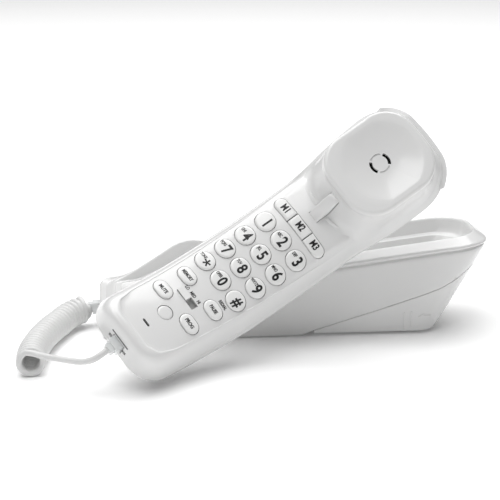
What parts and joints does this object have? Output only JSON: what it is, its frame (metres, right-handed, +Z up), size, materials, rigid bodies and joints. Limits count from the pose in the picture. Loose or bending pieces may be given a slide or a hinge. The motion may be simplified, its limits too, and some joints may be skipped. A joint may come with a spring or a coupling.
{
  "type": "corded telephone",
  "caption": "Slimline corded telephone: a curved keypad handset leaning on its low cradle base, with a coiled handset cord.",
  "frame": {"origin": "on the desk, under the middle of the base's footprint", "axes": "+X to the base's tall end, -Y to the front, where the handset leans, +Z up"},
  "size_m": [0.2593, 0.1602, 0.1266],
  "materials": {
    "white_shell": "high-gloss moulded ABS",
    "white_key": "gloss moulded ABS",
    "grey_plastic": "plain moulded",
    "clear_plug": "polycarbonate",
    "cord": "soft PVC jacket",
    "board": "glass-fibre circuit board",
    "rubber": "moulded",
    "iron": "blackened plate",
    "steel": "plated",
    "brass": "plain"
  },
  "bodies": {
    "base": {"base_top_housing": "white_shell", "base_lower_cover": "grey_plastic", "wedge_bracket": "white_shell", "ballast_plate": "iron", "base_pcb": "board", "ringer_disc": "brass", "base_cord_jack": "grey_plastic", "line_jack": "grey_plastic", "rubber_feet": "rubber", "base_screws": "steel", "cord_lead": "cord", "cord_coil": "cord", "plug_base": "clear_plug"},
    "handset": {"handset_front": "white_shell", "handset_back": "white_shell", "handset_pcb": "board", "key_mat": "rubber", "receiver_capsule": "steel", "receiver_gasket": "rubber", "microphone": "steel", "mic_boot": "rubber", "handset_jack": "grey_plastic", "handset_screws": "steel", "face_plug": "white_key", "hook_pin": "steel", "hook_spring": "steel", "hook_switch": "grey_plastic", "volume_switch": "grey_plastic", "cord_tail": "cord", "plug_handset": "clear_plug"},
    "key_1": {"key_1": "white_key"},
    "key_2": {"key_2": "white_key"},
    "key_3": {"key_3": "white_key"},
    "key_4": {"key_4": "white_key"},
    "key_5": {"key_5": "white_key"},
    "key_6": {"key_6": "white_key"},
    "key_7": {"key_7": "white_key"},
    "key_8": {"key_8": "white_key"},
    "key_9": {"key_9": "white_key"},
    "key_star": {"key_star": "white_key"},
    "key_0": {"key_0": "white_key"},
    "key_pound": {"key_pound": "white_key"},
    "key_m1": {"key_m1": "white_key"},
    "key_m2": {"key_m2": "white_key"},
    "key_m3": {"key_m3": "white_key"},
    "key_mute": {"key_mute": "white_key"},
    "key_memory": {"key_memory": "white_key"},
    "key_pause": {"key_pause": "white_key"},
    "key_prog": {"key_prog": "white_key"},
    "volume_slider": {"volume_slider": "white_key"},
    "hook_lever": {"hook_lever": "white_shell"}
  },
  "joints": [
    {"name": "handset_lift", "type": "slide", "parent": "base", "child": "handset", "axis": [0, 0, 1], "range_m": [0, 0.12]},
    {"name": "key_1_press", "type": "slide", "parent": "handset", "child": "key_1", "axis": [-0.128, 0.8002, -0.5859], "range_m": [0, 0.0012], "stiffness_N_per_m": 300, "springref_m": -0.0006},
    {"name": "key_2_press", "type": "slide", "parent": "handset", "child": "key_2", "axis": [-0.128, 0.8002, -0.5859], "range_m": [0, 0.0012], "stiffness_N_per_m": 300, "springref_m": -0.0006},
    {"name": "key_3_press", "type": "slide", "parent": "handset", "child": "key_3", "axis": [-0.128, 0.8002, -0.5859], "range_m": [0, 0.0012], "stiffness_N_per_m": 300, "springref_m": -0.0006},
    {"name": "key_4_press", "type": "slide", "parent": "handset", "child": "key_4", "axis": [-0.128, 0.8002, -0.5859], "range_m": [0, 0.0012], "stiffness_N_per_m": 300, "springref_m": -0.0006},
    {"name": "key_5_press", "type": "slide", "parent": "handset", "child": "key_5", "axis": [-0.128, 0.8002, -0.5859], "range_m": [0, 0.0012], "stiffness_N_per_m": 300, "springref_m": -0.0006},
    {"name": "key_6_press", "type": "slide", "parent": "handset", "child": "key_6", "axis": [-0.128, 0.8002, -0.5859], "range_m": [0, 0.0012], "stiffness_N_per_m": 300, "springref_m": -0.0006},
    {"name": "key_7_press", "type": "slide", "parent": "handset", "child": "key_7", "axis": [-0.128, 0.8002, -0.5859], "range_m": [0, 0.0012], "stiffness_N_per_m": 300, "springref_m": -0.0006},
    {"name": "key_8_press", "type": "slide", "parent": "handset", "child": "key_8", "axis": [-0.128, 0.8002, -0.5859], "range_m": [0, 0.0012], "stiffness_N_per_m": 300, "springref_m": -0.0006},
    {"name": "key_9_press", "type": "slide", "parent": "handset", "child": "key_9", "axis": [-0.128, 0.8002, -0.5859], "range_m": [0, 0.0012], "stiffness_N_per_m": 300, "springref_m": -0.0006},
    {"name": "key_star_press", "type": "slide", "parent": "handset", "child": "key_star", "axis": [-0.128, 0.8002, -0.5859], "range_m": [0, 0.0012], "stiffness_N_per_m": 300, "springref_m": -0.0006},
    {"name": "key_0_press", "type": "slide", "parent": "handset", "child": "key_0", "axis": [-0.128, 0.8002, -0.5859], "range_m": [0, 0.0012], "stiffness_N_per_m": 300, "springref_m": -0.0006},
    {"name": "key_pound_press", "type": "slide", "parent": "handset", "child": "key_pound", "axis": [-0.128, 0.8002, -0.5859], "range_m": [0, 0.0012], "stiffness_N_per_m": 300, "springref_m": -0.0006},
    {"name": "key_m1_press", "type": "slide", "parent": "handset", "child": "key_m1", "axis": [-0.128, 0.8002, -0.5859], "range_m": [0, 0.0012], "stiffness_N_per_m": 300, "springref_m": -0.0006},
    {"name": "key_m2_press", "type": "slide", "parent": "handset", "child": "key_m2", "axis": [-0.128, 0.8002, -0.5859], "range_m": [0, 0.0012], "stiffness_N_per_m": 300, "springref_m": -0.0006},
    {"name": "key_m3_press", "type": "slide", "parent": "handset", "child": "key_m3", "axis": [-0.128, 0.8002, -0.5859], "range_m": [0, 0.0012], "stiffness_N_per_m": 300, "springref_m": -0.0006},
    {"name": "key_mute_press", "type": "slide", "parent": "handset", "child": "key_mute", "axis": [-0.128, 0.8002, -0.5859], "range_m": [0, 0.0012], "stiffness_N_per_m": 300, "springref_m": -0.0006},
    {"name": "key_memory_press", "type": "slide", "parent": "handset", "child": "key_memory", "axis": [-0.128, 0.8002, -0.5859], "range_m": [0, 0.0012], "stiffness_N_per_m": 300, "springref_m": -0.0006},
    {"name": "key_pause_press", "type": "slide", "parent": "handset", "child": "key_pause", "axis": [-0.128, 0.8002, -0.5859], "range_m": [0, 0.0012], "stiffness_N_per_m": 300, "springref_m": -0.0006},
    {"name": "key_prog_press", "type": "slide", "parent": "handset", "child": "key_prog", "axis": [-0.128, 0.8002, -0.5859], "range_m": [0, 0.0012], "stiffness_N_per_m": 300, "springref_m": -0.0006},
    {"name": "volume_slide", "type": "slide", "parent": "handset", "child": "volume_slider", "axis": [0.5657, -0.4263, -0.7059], "range_m": [0, 0.0055]},
    {"name": "hook_turn", "type": "hinge", "parent": "handset", "child": "hook_lever", "pos_m": [0.02248, -0.04969, 0.06982], "axis": [-0.5657, 0.4263, 0.7059], "range_deg": [0, 16], "stiffness_Nm_per_rad": 0.02, "springref_deg": -11.46}
  ]
}
